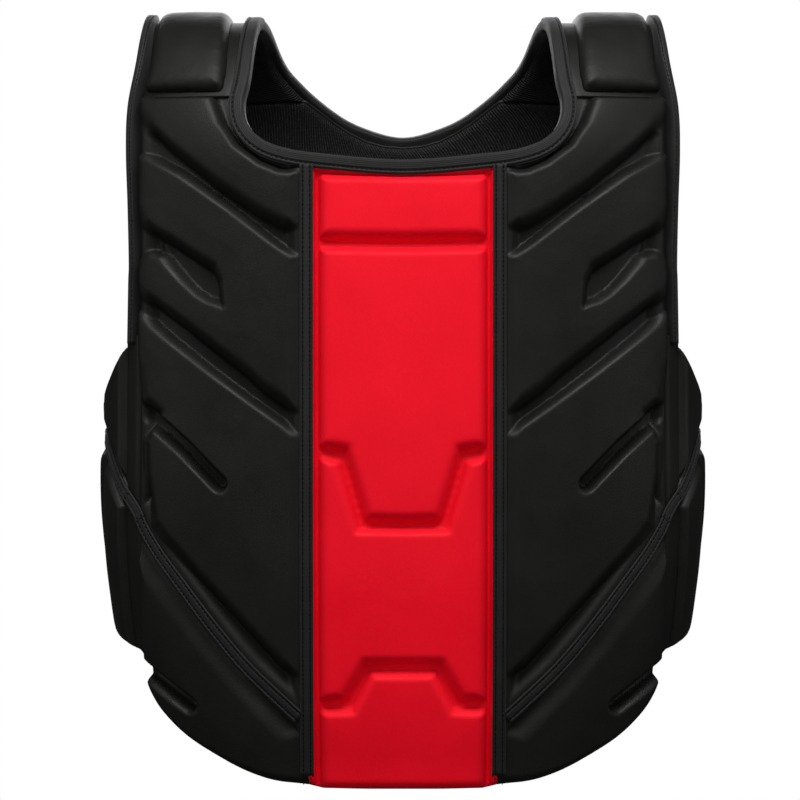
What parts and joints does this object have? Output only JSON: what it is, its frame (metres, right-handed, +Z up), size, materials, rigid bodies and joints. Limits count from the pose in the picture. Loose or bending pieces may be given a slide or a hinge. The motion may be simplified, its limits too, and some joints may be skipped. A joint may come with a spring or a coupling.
{
  "type": "chest protector",
  "caption": "Padded martial arts chest protector with moulded front panels, folding side wings, shoulder pads and a hook-and-loop back closure.",
  "frame": {"origin": "centre of the wearer's torso, level with the lowest point of the front hem", "axes": "+Z up along the torso, the front faces -Y, +X towards the wearer's left"},
  "size_m": [0.4868, 0.2849, 0.611],
  "materials": {
    "black_skin": "satin",
    "red_skin": "satin",
    "binding_tape": "matte",
    "foam": "matte",
    "spacer_mesh": "matte",
    "elastic": "matte",
    "hook": "matte",
    "loop": "matte"
  },
  "bodies": {
    "front": {"centre_cover": "red_skin", "centre_pad_1": "foam", "centre_pad_2": "foam", "centre_pad_3": "foam", "centre_pad_4": "foam", "chest_cover_left": "black_skin", "chest_cover_right": "black_skin", "chest_pad_left": "foam", "chest_pad_right": "foam", "rib_pad_left": "foam", "rib_pad_right": "foam", "flank_pad_left": "foam", "flank_pad_right": "foam", "belly_pad_left": "foam", "belly_pad_right": "foam", "belly_cover_left": "black_skin", "belly_cover_right": "black_skin", "front_lining": "spacer_mesh", "centre_tape_left": "binding_tape", "centre_tape_right": "binding_tape", "diagonal_tape_left": "binding_tape", "diagonal_tape_right": "binding_tape", "neck_binding_front": "binding_tape", "neck_binding_back": "binding_tape", "armhole_binding_left": "binding_tape", "armhole_binding_right": "binding_tape", "shoulder_strap_left": "black_skin", "shoulder_strap_right": "black_skin", "shoulder_pad_left": "black_skin", "shoulder_pad_right": "black_skin", "yoke_cover": "black_skin", "yoke_pad": "foam", "yoke_lining": "spacer_mesh"},
    "back_panel": {"back_cover": "black_skin", "back_pad": "foam", "back_lining": "spacer_mesh", "loop_field": "loop"},
    "wing_left": {"wing_cover_left": "black_skin", "wing_lining_left": "spacer_mesh", "wing_pad_upper_left": "foam", "wing_pad_lower_left": "foam", "wing_tape_left": "binding_tape", "wing_rear_binding_left": "binding_tape", "strap_anchor_left": "black_skin"},
    "closing_strap_left": {"elastic_strap_left": "elastic", "hook_pad_left": "hook", "pull_tab_left": "black_skin"},
    "wing_right": {"wing_cover_right": "black_skin", "wing_lining_right": "spacer_mesh", "wing_pad_upper_right": "foam", "wing_pad_lower_right": "foam", "wing_tape_right": "binding_tape", "wing_rear_binding_right": "binding_tape", "strap_anchor_right": "black_skin"},
    "closing_strap_right": {"elastic_strap_right": "elastic", "hook_pad_right": "hook", "pull_tab_right": "black_skin"}
  },
  "joints": [
    {"name": "wing_left_fold", "type": "hinge", "parent": "front", "child": "wing_left", "pos_m": [0.215, -0.0875, 0.22], "axis": [0, 0, -1], "range_deg": [0, 70]},
    {"name": "wing_right_fold", "type": "hinge", "parent": "front", "child": "wing_right", "pos_m": [-0.215, -0.0875, 0.22], "axis": [0, 0, 1], "range_deg": [0, 70]},
    {"name": "strap_left_peel", "type": "hinge", "parent": "wing_left", "child": "closing_strap_left", "pos_m": [0.172, 0.1205, 0.2365], "axis": [0, 0, -1], "range_deg": [0, 100]},
    {"name": "strap_right_peel", "type": "hinge", "parent": "wing_right", "child": "closing_strap_right", "pos_m": [-0.172, 0.1205, 0.2365], "axis": [0, 0, 1], "range_deg": [0, 100]},
    {"name": "back_panel_swing", "type": "hinge", "parent": "front", "child": "back_panel", "pos_m": [0, 0.1075, 0.469], "axis": [-1, 0, 0], "range_deg": [0, 15]}
  ]
}
